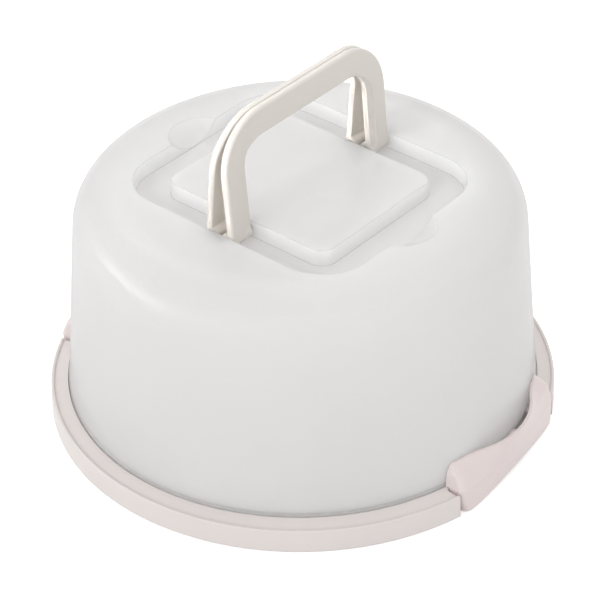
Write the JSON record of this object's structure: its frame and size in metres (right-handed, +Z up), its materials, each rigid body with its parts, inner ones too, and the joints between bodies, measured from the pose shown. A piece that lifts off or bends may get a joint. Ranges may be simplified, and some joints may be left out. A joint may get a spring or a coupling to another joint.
{
  "type": "cake carrier",
  "caption": "Round cake carrier: flat tray, tall translucent dome lid that lifts off, snap latches hinged in the tray's rim, and a double carrying handle that folds into the lid.",
  "frame": {"origin": "centre of the tray's underside, on the table", "axes": "+Z up; X along the carrying handle; the front latch faces -Y and the back latch +Y, both turned 7.2 degrees about Z from the handle"},
  "size_m": [0.3, 0.2958, 0.2132],
  "materials": {
    "tray": "satin moulded polypropylene",
    "latch": "satin moulded polypropylene",
    "lid": "smooth frosted translucent",
    "handle": "satin moulded polypropylene",
    "pin": "drawn wire"
  },
  "bodies": {
    "tray": {"tray": "tray"},
    "lid": {"lid": "lid", "handle_front_pin_left": "pin", "handle_front_pin_right": "pin", "handle_back_pin_left": "pin", "handle_back_pin_right": "pin"},
    "handle_front": {"handle_front": "handle"},
    "handle_back": {"handle_back": "handle"},
    "latch_front": {"latch_front": "latch", "latch_front_rod": "pin"},
    "latch_back": {"latch_back": "latch", "latch_back_rod": "pin"}
  },
  "joints": [
    {"name": "lid_lift", "type": "slide", "parent": "tray", "child": "lid", "axis": [0, 0, 1], "range_m": [0, 0.16]},
    {"name": "handle_front_fold", "type": "hinge", "parent": "lid", "child": "handle_front", "pos_m": [0, -0.0056, 0.143], "axis": [1, 0, 0], "range_deg": [0, 95]},
    {"name": "handle_back_fold", "type": "hinge", "parent": "lid", "child": "handle_back", "pos_m": [0, 0.0056, 0.143], "axis": [-1, 0, 0], "range_deg": [0, 95]},
    {"name": "latch_front_open", "type": "hinge", "parent": "tray", "child": "latch_front", "pos_m": [0.01762, -0.13947, 0.007], "axis": [0.9921, 0.1253, 0], "range_deg": [0, 85]},
    {"name": "latch_back_open", "type": "hinge", "parent": "tray", "child": "latch_back", "pos_m": [-0.01762, 0.13947, 0.007], "axis": [-0.9921, -0.1253, 0], "range_deg": [0, 85]}
  ]
}
